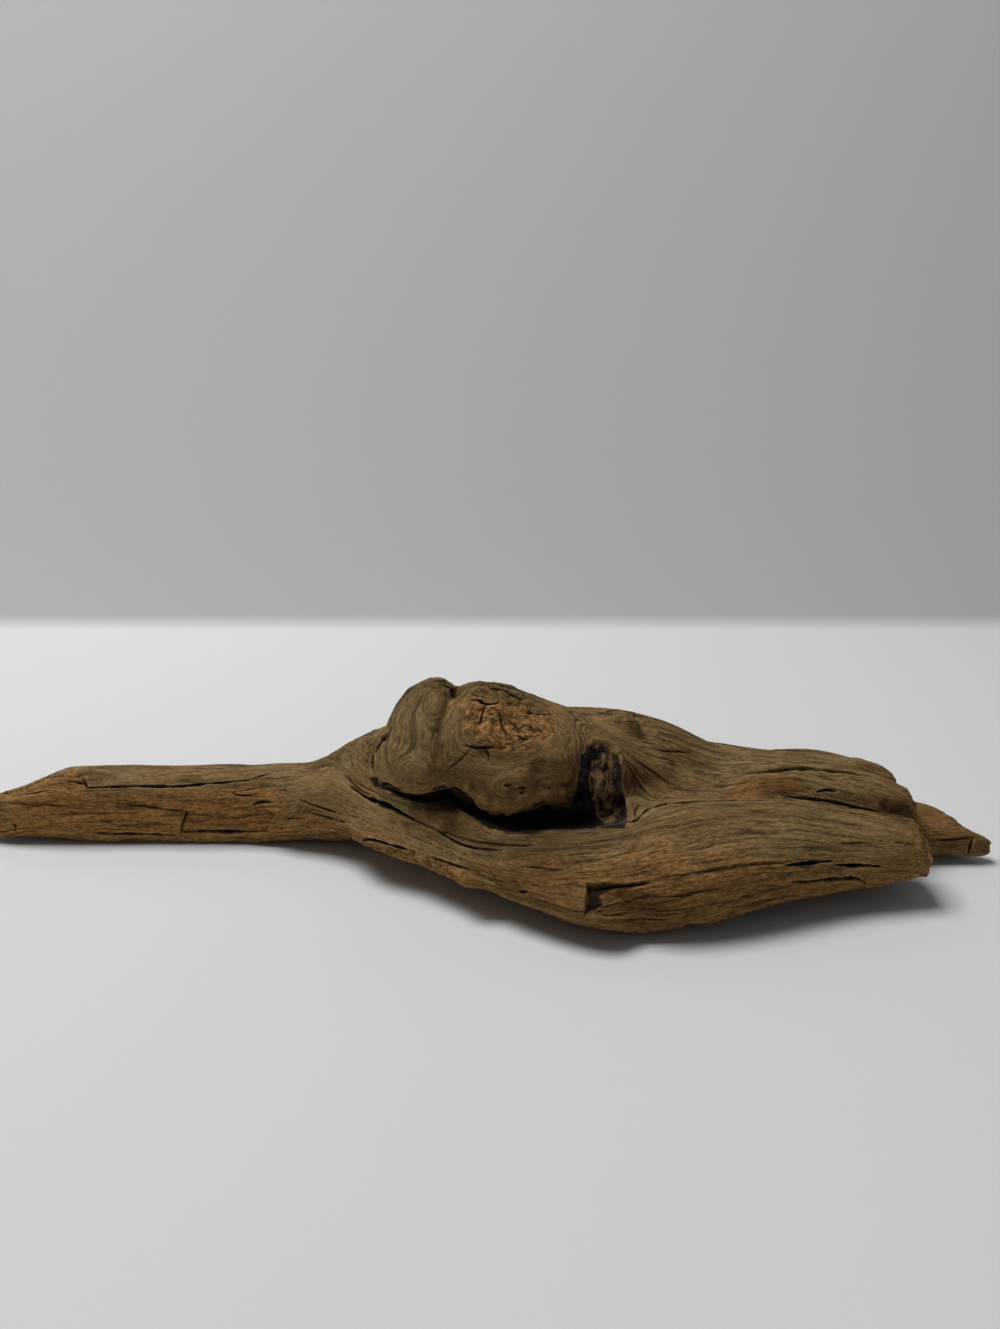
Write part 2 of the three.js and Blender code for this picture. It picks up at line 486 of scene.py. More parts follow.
PULLS: tuple[Pull, ...] = (
    # The ledge's edge stands out; the front arm's edge, the burl's lip and its left lobe hang lower
    Pull(((372, 838), (385, 842), (395, 847), (410, 851), (425, 856), (440, 861), (458, 871)), 20.0,
        (0.0, -12.0, 2.3)),
    Pull(((715, 913), (740, 906), (770, 898), (800, 891), (830, 886), (860, 881), (885, 879)), 10.0,
        (0.0, 0.0, -2.8)),
    Pull(((468, 796), (480, 800), (495, 803), (510, 804), (525, 801), (538, 797)), 9.0,
        (0.0, -1.0, -3.2)),
    Pull(((402, 785), (415, 787), (430, 786), (442, 783)), 7.0, (0.0, -0.5, -2.2)),
    # The belly's edge and the band under the left lobe stand out
    Pull(((480, 884), (500, 893), (530, 905), (560, 914), (600, 919)), 16.0, (0.0, -7.0, 3.6)),
    Pull(((384, 794), (400, 802), (420, 811), (440, 821)), 9.0, (0.0, -4.5, 2.4)),
    # Crown of the burl and end of the back arm stand higher
    Pull(((408, 692), (420, 686), (432, 683), (442, 681)), 8.0, (0.0, 0.0, 1.4)),
    Pull(((468, 688), (478, 686), (495, 687), (512, 690)), 8.0, (0.0, 0.0, 2.2)),
    Pull(((858, 763), (875, 769), (888, 778)), 8.0, (1.0, 0.0, 2.2)),
    # Swellings and hollows of the burl's face
    Pull(((555, 758), (562, 760)), 6.0, (0.6, -1.6, 0.8)),
    Pull(((506, 786), (524, 787)), 8.0, (0.0, -1.8, 0.0)),
    Pull(((484, 754), (500, 760), (515, 763)), 7.0, (0.0, 1.8, -0.6)),
    Pull(((541, 768), (543, 782)), 5.0, (0.0, 1.5, 0.0)),
    Pull(((495, 718), (525, 722)), 11.0, (0.0, 1.4, -1.0)),
    Pull(((470, 699), (462, 715)), 7.0, (0.0, -1.6, 0.8)),
    Pull(((410, 766), (420, 770)), 10.0, (-0.6, -1.8, 0.0)),
    Pull(((449, 700), (446, 712), (442, 730)), 6.0, (0.0, 2.4, -0.6)),
)

# Each crack's fourth number is how strongly shade is painted into it, fully where none is given
CRACKS: tuple[Crack, ...] = (
    # Round the burl's foot, and down into the pocket
    Crack(((391, 727), (386, 735), (379, 741), (373, 752), (369, 760), (371, 769), (375, 780)), 1.1,
        3.0),
    Crack(((391, 727), (385, 737), (373, 752), (369, 762), (372, 774), (380, 784)), 4.5, 1.6, 0.0),
    Crack(((372, 772), (376, 781), (391, 785), (405, 793), (424, 797), (437, 795)), 0.8, 4.0),
    Crack(((351, 786), (364, 796), (377, 802), (392, 808), (404, 815), (414, 820)), 1.1, 4.0),
    Crack(((412, 819), (425, 825), (438, 831), (461, 845), (480, 849), (502, 851)), 0.65, 1.4, 0.7),
    Crack(((436, 832), (450, 833), (470, 841), (500, 845), (540, 846)), 0.7, 0.8, 0.5),
    Crack(((345, 775), (352, 782), (360, 790), (372, 797)), 0.7, 1.0, 0.5),
    # Between the front arm and the middle arm
    Crack(((622, 808), (625, 822), (632, 823), (640, 816), (648, 808), (667, 803.5), (703, 802),
        (739, 799), (777, 799.5), (802, 803), (841, 811), (879, 817), (912, 821)), 0.8, 4.0),
    Crack(((640, 802), (634, 808), (633, 815), (638, 819)), 0.7, 1.0, 0.5),
    Crack(((782, 795), (800, 798), (823, 800), (850, 806), (880, 812)), 0.65, 1.8, 0.8),
    Crack(((818, 792), (826, 789), (837, 791)), 0.9, 2.5),
    Crack(((700, 764), (730, 771), (750, 768), (780, 765), (810, 766), (840, 770), (870, 776)), 0.8,
        2.0, 0.8),
    Crack(((690, 762), (730, 771), (750, 769), (780, 767), (820, 769), (870, 778)), 4.5, 2.2, 0.1),
    # Down the fan beside the burl
    Crack(((600, 728), (628, 745), (655, 757), (690, 765), (730, 771)), 0.7, 1.0, 0.4),
    Crack(((622, 750), (632, 772), (645, 792), (662, 801)), 0.65, 0.9, 0.4),
    Crack(((640, 747), (665, 751), (690, 752)), 0.7, 0.9, 0.5),
    Crack(((612, 740), (640, 762), (668, 783), (700, 795)), 0.7, 0.7, 0.3),
    # Along the front arm
    Crack(((590, 885), (610, 884.5), (629, 885), (650, 882)), 0.7, 1.8, 0.9),
    Crack(((640, 884), (672, 877), (713, 871), (739, 866), (790, 862)), 1.3, 0.8, 0.45),
    Crack(((640, 898), (680, 897), (720, 888)), 0.7, 0.8, 0.5),
    Crack(((786, 865.5), (808, 863), (832, 861)), 0.7, 4.0),
    Crack(((836, 865), (858, 865.5), (880, 866.5)), 0.7, 4.0),
    Crack(((792, 882), (825, 880), (857, 878), (866, 884)), 0.8, 4.0),
    Crack(((843, 842.5), (853, 843.5), (864, 842)), 0.65, 1.6),
    Crack(((520, 867), (540, 868), (562, 871)), 0.6, 0.8, 0.5),
    Crack(((519, 891), (524, 894), (527, 892)), 0.7, 1.6, 0.8),
    # Left arm
    Crack(((86, 788), (118, 786.5), (143, 786), (175, 786.5), (201, 784), (230, 782), (250, 780)), 0.7,
        3.0),
    Crack(((250, 780), (257, 776.5), (286, 770), (318, 771)), 0.65, 1.5, 0.6),
    Crack(((83, 777), (84, 783), (87, 788)), 0.65, 2.0, 0.8),
    Crack(((66, 779), (75, 780), (83, 783)), 0.65, 1.5, 0.8),
    Crack(((94, 832.5), (110, 834), (140, 834), (177, 835.5)), 0.65, 2.0),
    Crack(((184, 833), (215, 832), (250, 832), (268, 831.5)), 0.7, 3.0),
    Crack(((126, 806), (140, 806), (155, 808), (165, 809.5)), 0.7, 1.0, 0.7),
    Crack(((163, 809), (175, 811), (188, 811), (184, 820), (181, 828), (180, 834)), 0.7, 1.2, 0.7),
    Crack(((232, 793), (240, 796), (252, 795)), 0.7, 1.5, 0.7),
    Crack(((252, 805), (262, 801), (272, 803)), 0.7, 1.5, 0.8),
    Crack(((286, 819), (300, 820)), 0.65, 1.5, 0.8),
    Crack(((280, 828), (283, 828)), 0.9, 1.8, 0.9),
    Crack(((305, 769), (320, 767), (334, 762)), 0.7, 1.4, 0.7),
    Crack(((20, 806), (45, 805), (70, 807)), 0.6, 0.8, 0.4),
    Crack(((12, 826), (16, 822), (15, 832)), 0.7, 1.2, 0.7),
    # Broken edge under the ledge
    Crack(((352, 840), (373, 839.5), (393, 846), (410, 850)), 0.7, 2.5),
    Crack(((393, 850), (400, 855), (410, 861)), 0.8, 2.0),
    Crack(((431, 857), (460, 867), (480, 873)), 0.7, 1.5, 0.7),
    Crack(((300, 800), (318, 807), (335, 812)), 0.7, 1.4, 0.7),
    Crack(((305, 812), (325, 818), (345, 823)), 0.7, 1.2, 0.6),
    # Folds and ridges of the burl; a negative depth stands up
    Crack(((452, 697), (446, 712), (440, 728), (444, 745), (436, 764)), 3.0, 1.0, 0.1),
    Crack(((390, 738), (404, 747), (420, 752), (436, 764)), 3.5, 0.8, 0.0),
    Crack(((395, 735), (396, 712), (405, 694), (420, 683)), 0.65, 0.4, 0.3),
    Crack(((408, 742), (411, 716), (420, 700), (430, 690)), 0.65, 0.4, 0.3),
    Crack(((447, 770), (460, 760), (472, 748)), 0.7, 0.6, 0.4),
    Crack(ellipse((559, 759), 9, 8), 1.8, -0.4, 0.0),
    Crack(ellipse((515, 786), 22, 11), 2.2, -0.5, 0.0),
    Crack(((573, 799), (577, 776), (582, 754), (592, 741), (605, 741), (618, 750), (625, 770)), 2.4,
        -1.4, 0.0),
    # On the burl's crown
    Crack(((456, 682.5), (457, 685), (457, 690), (453, 696)), 3.0, 3.6, 0.4),
    Crack(((438, 682), (446, 686), (455, 689)), 0.9, 2.4, 0.9),
    Crack(((434, 680), (441, 679), (448, 683)), 0.65, 1.2, 0.8),
    Crack(((472, 699), (484, 703), (492, 705), (499, 702)), 0.7, 1.6),
    Crack(((470, 694), (480, 697), (490, 697)), 0.7, 1.0, 0.7),
    Crack(((486, 704), (483, 710), (482, 718), (480, 724)), 0.6, 1.2, 0.8),
    Crack(((465, 746), (478, 748), (496, 747)), 0.7, 1.4, 0.8),
    Crack(((484, 748), (488, 753), (490, 761)), 0.6, 1.0, 0.7),
    Crack(((527, 712), (540, 714), (553, 713)), 0.7, 1.2, 0.7),
    Crack(((496, 711), (503, 717), (500, 726), (508, 732), (506, 739)), 0.6, 1.0, 0.6),
    Crack(((509, 721), (518, 727), (529, 724), (536, 729)), 0.6, 0.8, 0.5),
    Crack(((514, 735), (523, 740), (530, 738)), 0.6, 1.0, 0.7),
    Crack(((488, 687), (505, 690), (520, 698), (538, 706)), 0.8, 2.0, 0.8),
    Crack(((478, 682), (500, 684), (522, 692)), 0.7, 1.2, 0.6),
    Crack(((504, 786), (507, 784), (511, 786)), 0.8, 1.4, 0.8),
    Crack(((518, 789), (522, 788), (527, 789)), 0.8, 1.4, 0.8),
    Crack(((519, 794), (525, 793)), 0.65, 1.2, 0.7),
    # Round the side knot, and behind the nub of the tip
    Crack(((599, 715), (606, 711.5), (618, 710.5), (630, 712.5), (639, 716), (630, 720), (621, 724),
        (611, 721), (599, 715)), 0.7, 0.7, 0.8),
    Crack(((973, 837), (970, 846), (969, 854)), 0.7, 2.0, 0.9),
    Crack(((935, 840), (950, 840), (972, 838)), 0.7, 1.0, 0.7),
)

PATCHES: tuple[Patch, ...] = (
    # Rough heart of the burl
    Patch(Tint.WARM, ((455, 702), (478, 690), (500, 700), (530, 702), (556, 713), (560, 733),
        (540, 748), (512, 752), (480, 744), (462, 728)), soft=10, strength=0.75, rough=1.0),
    # Lip of the burl over the pocket
    Patch(Tint.WARM, ((466, 788), (500, 800), (540, 793), (566, 790), (571, 808), (543, 802),
        (507, 816), (477, 808)), soft=5, strength=0.5, depth=-1.2),
    # Fresh break on the middle arm
    Patch(Tint.WARM, ((722, 797), (746, 778), (776, 770), (800, 778), (812, 790), (795, 796),
        (765, 797)), soft=2.5, depth=0.7),
    # Left arm's front, its lost sliver and its stepped end
    Patch(Tint.WARM, ((0, 795), (60, 772), (90, 792), (250, 786), (285, 800), (300, 835), (0, 840)),
        soft=10),
    Patch(Tint.WARM, ((181, 813), (262, 806), (275, 815), (268, 830), (181, 833)), soft=1.5,
        strength=0.7, depth=1.3),
    Patch(Tint.WARM, ((-10, 790), (60, 772), (72, 767), (82, 777), (86, 787), (60, 791), (20, 796)),
        soft=2.0, strength=0.8, depth=1.6),
    # Flaked edge under the ledge
    Patch(Tint.WARM, ((300, 806), (330, 815), (352, 838), (340, 836), (310, 830), (290, 822)),
        soft=2.5, strength=0.8, depth=1.0, rough=0.3),
    Patch(Tint.WARM, ((352, 842), (392, 848), (412, 852), (420, 868), (392, 857), (369, 853)),
        soft=1.5, strength=0.6, depth=1.4, rough=0.3),
    Patch(Tint.WARM, ((352, 836), (395, 844), (440, 860), (470, 876), (466, 886), (430, 876),
        (395, 860), (350, 846)), soft=3.0, strength=0.6, rough=0.7),
    # Rough crown of the burl, on both sides of its gap
    Patch(Tint.CHAR_AND_SHADE, ((420, 685), (432, 677), (447, 679), (457, 687), (449, 695), (436, 691)),
        soft=3.0, strength=0.45, rough=0.8),
    Patch(Tint.CHAR_AND_SHADE, ((462, 687), (488, 679), (520, 688), (548, 704), (530, 708), (505, 700),
        (485, 696), (466, 697)), soft=5.0, strength=0.4, rough=0.7),
    # Rough slope behind the left lobe
    Patch(Tint.CHAR_AND_SHADE, ((305, 770), (320, 757), (345, 742), (372, 733), (380, 742), (360, 757),
        (335, 768)), soft=6.0, strength=0.4, rough=0.5),
    # Belly and front arm
    Patch(Tint.WARM, ((480, 868), (560, 858), (650, 845), (740, 855), (860, 870), (920, 878),
        (720, 930), (600, 930), (500, 890)), soft=16, strength=0.8),
    # Painted shade on the front faces of the belly and the front arm
    Patch(Tint.CHAR_AND_SHADE, ((480, 868), (560, 862), (650, 868), (740, 862), (860, 872), (920, 880),
        (720, 930), (600, 930), (500, 890)), soft=14, strength=0.4),
    # Deeper painted shade on the belly's lower front edge
    Patch(Tint.CHAR_AND_SHADE, ((470, 866), (520, 864), (584, 868), (584, 912), (540, 902), (490, 884)), soft=8,
        strength=0.62),
    Patch(Tint.WARM, ((586, 900), (588, 885), (640, 884), (690, 880), (690, 912), (640, 918),
        (584, 915)), soft=1.2, strength=0.3, depth=2.4, fade=75),
    # Painted shadow in the recess right of the belly's notch
    Patch(Tint.RECESS_SHADE, ((589, 897), (588, 885), (612, 884), (640, 886), (616, 891), (600, 893),
        (605, 899), (606, 904), (598, 909), (585, 914)), soft=1.5, depth=0.8, fade=80),
    Patch(Tint.WARM, ((915, 825), (930, 832), (936, 868), (925, 880), (905, 880), (912, 850)),
        soft=5.0, strength=0.5, rough=0.6),
    Patch(Tint.WARM, ((905, 798), (940, 802), (975, 838), (935, 845), (915, 830)), soft=5,
        strength=0.6),
    Patch(Tint.CHAR_AND_SHADE, ((905, 798), (940, 802), (975, 838), (990, 842), (985, 858), (935, 858),
        (915, 830)), soft=5, strength=0.4),
    # Painted shade in the cleft under the left lobe
    Patch(Tint.RECESS_SHADE, ((372, 774), (378, 782), (391, 786), (405, 794), (424, 798), (437, 796),
        (446, 788), (446, 794), (437, 801), (424, 803), (404, 799), (390, 792), (375, 787),
        (369, 778)), soft=1.5),
    # Resin, bark and char
    Patch(Tint.RESIN, ((435, 790), (445, 784), (461, 797), (477, 808), (493, 815), (507, 816),
        (530, 808), (543, 801), (552, 808), (571, 808), (574, 797), (577, 775), (583, 756), (592, 747),
        (604, 744), (612, 750), (598, 753), (590, 763), (587, 780), (589, 800), (595, 813), (606, 822),
        (626, 820), (626, 828), (587, 829), (520, 829), (491, 829), (477, 820), (461, 808),
        (447, 799)), soft=1.5, depth=0.6),
    Patch(Tint.RESIN, ((616, 762), (621, 766), (625, 822), (611, 826), (617, 806), (617, 782)),
        soft=1.5, strength=0.9),
    Patch(Tint.BARK, ((578, 790), (578, 770), (580, 758), (588, 746), (598, 743), (610, 748),
        (620, 760), (622, 788), (624, 816), (606, 820), (592, 808), (584, 800)), soft=2.0, depth=1.5,
        rough=0.8),
    Patch(Tint.BARK, ((598, 713), (605, 708), (618, 707), (632, 710), (640, 714), (630, 720),
        (621, 724), (611, 721)), soft=2.0, strength=0.35, rough=0.2),
    Patch(Tint.CHAR_AND_SHADE, ((878, 802), (905, 800), (914, 812), (910, 821), (878, 815)), soft=4,
        strength=0.9, rough=0.5),
    # Duller wood on the horn and on the left of the ledge
    Patch(Tint.CHAR_AND_SHADE, ((385, 735), (392, 705), (408, 688), (430, 684), (440, 705), (432, 735),
        (405, 745)), soft=10, strength=0.2),
    Patch(Tint.CHAR_AND_SHADE, ((275, 785), (345, 785), (350, 830), (280, 828)), soft=10, strength=0.25),
    # Painted shade on the ledge under the pocket's lip, and on the break of the middle arm
    Patch(Tint.CHAR_AND_SHADE, ((437, 800), (461, 812), (491, 832), (560, 832), (625, 828), (640, 838),
        (600, 856), (540, 864), (480, 856), (440, 836), (400, 815)), soft=12, strength=0.65),
    Patch(Tint.CHAR_AND_SHADE, ((722, 797), (746, 778), (776, 770), (800, 778), (812, 790), (795, 796)), soft=4,
        strength=0.4),
    Patch(Tint.CHAR_AND_SHADE, ((754, 797), (758, 778), (776, 771), (800, 778), (812, 790), (795, 796)), soft=5,
        strength=0.85),
)


@dataclass(frozen=True)
class Stretch:
    """A noise drawn out along the grain.

    It has waves for each ring and for each metre along and across the wood, octaves of finer
    noise, their weight and a shift.
    """

    ring: float
    along: float
    across: float
    octaves: int = 2
    rough: float = 0.5
    shift: float = 0.0


@dataclass(frozen=True)
class Weathering:
    """How water and time shaped the surface. Heights in millimetres, rates per metre, bend in rings."""

    swell: float = 0.6
    swell_noise: Speckle = Speckle(45.0, 2)
    bend: float = 2.2
    bend_noise: Speckle = Speckle(45.0, 1)
    ridge: float = 0.16
    ridge_run: Stretch = Stretch(0.32, 28.0, 14.0)
    flute: float = 0.12
    flute_run: Stretch = Stretch(0.9, 60.0, 30.0)
    flake: float = 0.08
    edge_flake: float = 0.3
    flake_run: Stretch = Stretch(0.45, 50.0, 30.0, shift=40.0)
    flake_edge: Band = (0.05, 0.12)
    check: float = 0.3
    check_run: Stretch = Stretch(0.8, 45.0, 22.0, shift=90.0)
    check_edge: Band = (0.5, 0.68)
    # Painted shade in the checks
    check_shade: float = 0.5
    outer_rings: Band = (2.0, 14.0)
    outer_warm: float = 0.5
    end: float = 1.6
    end_rate: tuple[float, float, float] = (70.0, 240.0, 240.0)
    end_octaves: int = 3
    end_facing: Band = (0.5, 0.85)
    end_from: float = 0.14
    end_warm: float = 0.6
    lump: float = 0.9
    lump_noise: Speckle = Speckle(300.0, 3)
    lump_shift: float = 9.0
    edge_noise: Speckle = Speckle(220.0, 2)
    wear_even: float = 0.5
    wear_gain: float = 0.9
    wear_rounds: int = 10


@dataclass(frozen=True)
class Carving:
    """How the sides of a crack run, as shares of its width or its length."""

    reach: float = 2.0
    ragged: Speckle = Speckle(240.0, 2)
    crack_wobble: float = 0.6
    fold_wobble: float = 0.15
    end_share: float = 0.02
    taper: float = 0.4
    end_width: float = 0.4
    side: float = 0.8
    # How far past its cut a crack's painted shade spreads, and how softly it ends
    shade_spread: float = 1.35
    shade_side: float = 0.6


@dataclass
class Driftwood:
    """The wood itself: one grown piece, rebuilt finely from its CAD solid."""

    camera: PhotoCamera
    coarse: float = 1.5 * MM
    smoothing: int = 14
    relax: tuple[float, float] = (0.6, -0.3)
    faces: int = 195_000
    seen_gap: float = 2.5 * MM
    guide_step: float = 9.0
    crack_step: float = 3.0
    path_smoothing: int = 4
    fold_width: float = 1.7
    sharp_edge: float = 2.0
    fine_reach: float = 2.2 * MM
    ring_slack: float = 0.0015
    chunk: int = 20_000
    seed: int = 7
    points: np.ndarray = field(default_factory=lambda: np.zeros((0, 3)))
    normals: np.ndarray = field(default_factory=lambda: np.zeros((0, 3)))
    masks: dict[Tint, np.ndarray] = field(default_factory=dict)
    weather: Weathering = Weathering()
    carving: Carving = Carving()

    def build(self) -> bpy.types.Object:
        """Make the finished piece.

        Returns:
            The mesh object, with its masks.
        """
        piece = self._fine_copy()
        self._read(piece)
        self._pull(piece)
        self._read(piece)
        self._refine(piece)
        self._read(piece)
        tree = self._tree(piece)
        noise = LatticeNoise(self.seed)
        self.masks = {tint: np.zeros(len(self.points)) for tint in Tint}
        self.masks[Tint.RING] = self._rings(tree)
        pixels = self.camera.pixels(self.points)
        seen = self._seen(tree)
        moved = np.zeros_like(self.points)
        for patch in PATCHES:
            moved += self._patch(patch, pixels, seen, noise)
        moved += self._relief(noise)
        folds = np.zeros_like(moved)
        for crack in CRACKS:
            cut = self._crack(crack, tree, noise)
            if crack.width < self.fold_width:
                moved += cut
            else:
                folds += cut
        self.masks[Tint.WEAR] = self._wear(piece.data, moved)
        moved += folds
        piece.data.vertices.foreach_set("co", (self.points + moved).astype(np.float32).ravel())
        for tint, mask in self.masks.items():
            made = piece.data.attributes.new(tint.value, "FLOAT", "POINT")
            made.data.foreach_set("value", mask.astype(np.float32))
        piece.data.update()
        self._thin_out(piece)
        return piece

    def _fine_copy(self) -> bpy.types.Object:
        """Remesh the CAD solid evenly, soften its facets and split its faces.

        Returns:
            The finely meshed copy.
        """
        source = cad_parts["driftwood"]
        piece = bpy.data.objects.new("weathered_driftwood", source.data.copy())
        bpy.context.scene.collection.objects.link(piece)
        piece.data.materials.clear()
        remesh = piece.modifiers.new("even", "REMESH")
        remesh.mode = "VOXEL"
        remesh.voxel_size = self.coarse
        self._apply(piece)
        self._soften(piece.data)
        split = piece.modifiers.new("split", "SUBSURF")
        split.levels = split.render_levels = 1
        self._apply(piece)
        return piece

    def _apply(self, piece: bpy.types.Object) -> None:
        """Replace a piece's mesh by its modifiers' result.

        Args:
            piece: The piece.
        """
        depsgraph = bpy.context.evaluated_depsgraph_get()
        made = bpy.data.meshes.new_from_object(piece.evaluated_get(depsgraph))
        piece.modifiers.clear()
        piece.data = made

    def _averaged(self, mesh: bpy.types.Mesh, values: np.ndarray) -> np.ndarray:
        """Average each vertex's values over its neighbours.

        Args:
            mesh: The mesh whose edges join the neighbours.
            values: Values, one row a vertex.

        Returns:
            The neighbours' mean values.
        """
        count = len(values)
        ends = np.zeros(len(mesh.edges) * 2, np.int64)
        mesh.edges.foreach_get("vertices", ends)
        first, second = ends.reshape(-1, 2).T
        near = np.bincount(np.concatenate([first, second]), minlength=count)
        sums = np.zeros_like(values)
        for i, column in enumerate(values.T):
            sums[:, i] = np.bincount(first, column[second], count)
            sums[:, i] += np.bincount(second, column[first], count)
        return sums / near[:, None]

    def _soften(self, mesh: bpy.types.Mesh) -> None:
        """Ease out the facets of the solid without shrinking it much.

        Args:
            mesh: The mesh to soften.
        """
        points = np.zeros(len(mesh.vertices) * 3)
        mesh.vertices.foreach_get("co", points)
        points = points.reshape(-1, 3)
        for _ in range(self.smoothing):
            for weight in self.relax:
                points = points + weight * (self._averaged(mesh, points) - points)
        mesh.vertices.foreach_set("co", points.ravel())
        mesh.update()

    def _wear(self, mesh: bpy.types.Mesh, moved: np.ndarray) -> np.ndarray:
        """Tell worn ridges from sheltered hollows.

        Args:
            mesh: The mesh whose edges join the points.
            moved: How far each point moves.

        Returns:
            0.5 on even ground, more on ridges and less in hollows.
        """
        height = (moved * self.normals).sum(1)[:, None] / MM
        around = height
        for _ in range(self.weather.wear_rounds):
            around = self._averaged(mesh, around)
        raised = (height - around)[:, 0]
        return np.clip(self.weather.wear_even + self.weather.wear_gain * raised, 0.0, 1.0)

    def _read(self, piece: bpy.types.Object) -> None:
        """Take the mesh's points and normals into arrays.

        Args:
            piece: The wood.
        """
        points = np.zeros(len(piece.data.vertices) * 3)
        normals = np.zeros(len(piece.data.vertices) * 3)
        piece.data.vertices.foreach_get("co", points)
        piece.data.vertex_normals.foreach_get("vector", normals)
        self.points, self.normals = points.reshape(-1, 3), normals.reshape(-1, 3)

    def _tree(self, piece: bpy.types.Object) -> BVHTree:
        """Index the surface for rays."""
        faces = [tuple(face.vertices) for face in piece.data.polygons]
        return BVHTree.FromPolygons([Vector(point) for point in self.points], faces)

    def _pull(self, piece: bpy.types.Object) -> None:
        """Move the surface round each pull's line, most at the line itself.

        Args:
            piece: The wood.
        """
        tree = self._tree(piece)
        moved = np.zeros_like(self.points)
        for pull in PULLS:
            line, _ = self._cast(pull.path, self.crack_step, tree)
            gap = np.min([np.linalg.norm(self.points - point, axis=1) for point in line], axis=0)
            share = 1.0 - eased(gap, 0.0, pull.reach * MM)
            moved += share[:, None] * np.array(pull.move) * MM
        piece.data.vertices.foreach_set("co", (self.points + moved).ravel())
        piece.data.update()

    def _refine(self, piece: bpy.types.Object) -> None:
        """Split the faces along the cracks and the sharp outlines.

        Args:
            piece: The wood, still evenly meshed.
        """
        tree = self._tree(piece)
        lines = [crack.path for crack in CRACKS if crack.width < self.fold_width]
        sharp = [patch.outline for patch in PATCHES if patch.soft <= self.sharp_edge]
        lines += [(*outline, outline[0]) for outline in sharp]
        laid = np.concatenate([self._cast(path, self.crack_step, tree)[0] for path in lines])
        nearest = KDTree(len(laid))
        for i, point in enumerate(laid):
            nearest.insert(point, i)
        nearest.balance()
        fine = bmesh.new()
        fine.from_mesh(piece.data)
        near = {vertex for vertex in fine.verts if nearest.find(vertex.co)[2] < self.fine_reach}
        edges = [edge for edge in fine.edges if near.issuperset(edge.verts)]
        bmesh.ops.subdivide_edges(fine, edges=edges, cuts=1, use_grid_fill=True)
        fine.to_mesh(piece.data)
        fine.free()
        LOG.info("%s: %d edges split along cracks", piece.name, len(edges))

    def _cast(self, path: Path, step: float, tree: BVHTree) -> tuple[np.ndarray, np.ndarray]:
        """Lay a picture path on the surface.

        Args:
            path: Corner pixels.
            step: Pixels between the points laid.
            tree: The surface.

        Returns:
            The points met and the surface normals there.
        """
        met, facing = [], []
        for start, end in zip(path, path[1:]):
            parts = max(1, round(math.dist(start, end) / step))
            # Only the last stretch takes its end, which elsewhere starts the next stretch
            for i in range(parts + (end == path[-1])):
                share = i / parts
                pixel = tuple(a + (b - a) * share for a, b in zip(start, end))
                place, normal, _, _ = tree.ray_cast(*self.camera.ray(pixel))
                if place is not None:
                    met.append(place)
                    facing.append(normal)
        return np.array(met).reshape(-1, 3), np.array(facing).reshape(-1, 3)

    def _rings(self, tree: BVHTree) -> np.ndarray:
        """Spread the guides' ring numbers smoothly over the whole piece.

        Args:
            tree: The surface.

        Returns:
            A ring number for each point.
        """
        laid = [(guide.ring, self._cast(guide.path, self.guide_step, tree)[0]) for guide in GUIDES]
        knots = np.concatenate([points for _, points in laid])
        rings = np.concatenate([np.full(len(points), ring) for ring, points in laid])
        # Distances from the knots carry the field, over a plane for what lies far from them all
        size, plane_terms = len(knots), 1 + knots.shape[1]
        system = np.zeros((size + plane_terms, size + plane_terms))
        system[:size, :size] = np.linalg.norm(knots[:, None] - knots[None], axis=2)
        system[:size, :size] -= self.ring_slack * np.eye(size)
        system[:size, size] = system[size, :size] = 1.0
        system[:size, size + 1 :] = knots
        system[size + 1 :, :size] = knots.T
        weights = np.linalg.solve(system, np.concatenate([rings, np.zeros(plane_terms)]))
        made = np.zeros(len(self.points))
        for start in range(0, len(self.points), self.chunk):
            part = self.points[start : start + self.chunk]
            square = (part**2).sum(1)[:, None] + (knots**2).sum(1)[None] - 2 * part @ knots.T
            reach = np.sqrt(np.maximum(square, 0.0))
            plane = weights[size] + part @ weights[size + 1 :]
            made[start : start + self.chunk] = reach @ weights[:size] + plane
        LOG.info("grain: %d knots, rings %.1f to %.1f", size, made.min(), made.max())
        return made

    def _seen(self, tree: BVHTree) -> np.ndarray:
        """Tell which points the photo shows.

        Args:
            tree: The surface.

        Returns:
            1 for a point in sight and 0 for the others.
        """
        eye = Vector(self.camera.place)
        towards = np.array(self.camera.place) - self.points
        facing = (towards * self.normals).sum(1) > 0
        seen = np.zeros(len(self.points))
        for i in np.flatnonzero(facing):
            point = Vector(self.points[i])
            ray = point - eye
            _, _, _, reach = tree.ray_cast(eye, ray.normalized())
            seen[i] = reach is not None and reach > ray.length - self.seen_gap
        return seen

